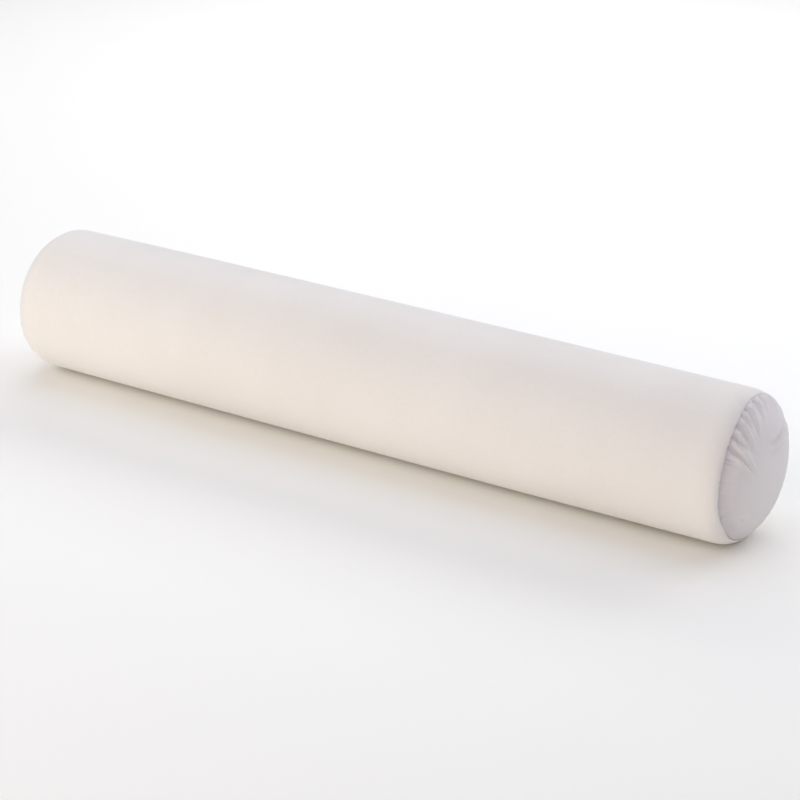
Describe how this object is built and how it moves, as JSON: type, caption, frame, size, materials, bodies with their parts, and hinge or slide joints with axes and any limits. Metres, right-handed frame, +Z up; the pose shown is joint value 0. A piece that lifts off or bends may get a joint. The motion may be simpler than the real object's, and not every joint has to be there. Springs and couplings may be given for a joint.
{
  "type": "foam roller",
  "caption": "Long cylindrical foam roller in a removable cream fabric cover with softly domed, gathered ends and a zip along the back.",
  "frame": {"origin": "on the surface it lies on, under the middle of the roller", "axes": "+X along the roller, towards the end seen nearer in the picture; +Y towards the back, where the zip is; +Z up"},
  "size_m": [0.916, 0.1608, 0.1587],
  "materials": {
    "cover_cloth": "matt brushed knit",
    "casing_cloth": "thin plain lining",
    "firm_foam": "closed-cell foam",
    "soft_foam": "open-cell foam",
    "tape_cloth": "woven tape",
    "nylon": "nylon coil",
    "nickel": "nickel plated",
    "satin": "satin ribbon"
  },
  "bodies": {
    "roller": {"cover_tube": "cover_cloth", "cover_end_left": "cover_cloth", "cover_end_right": "cover_cloth", "core_roll": "firm_foam", "padding_wrap": "soft_foam", "end_pad_left": "soft_foam", "end_pad_right": "soft_foam", "casing_tube": "casing_cloth", "casing_end_left": "casing_cloth", "casing_end_right": "casing_cloth", "zip_tape_upper": "tape_cloth", "zip_tape_lower": "tape_cloth", "zip_coil_upper": "nylon", "zip_coil_lower": "nylon", "zip_top_stop_upper": "nickel", "zip_top_stop_lower": "nickel", "zip_bottom_stop": "nickel", "care_label": "satin"},
    "slider": {"zip_slider": "nickel"},
    "pull_tab": {"zip_pull": "nickel"}
  },
  "joints": [
    {"name": "zip_slide", "type": "slide", "parent": "roller", "child": "slider", "axis": [1, 0, 0], "range_m": [0, 0.706]},
    {"name": "pull_flip", "type": "hinge", "parent": "slider", "child": "pull_tab", "pos_m": [-0.3532, 0.07743, 0.10688], "axis": [0, -0.342, 0.9397], "range_deg": [0, 170]}
  ]
}
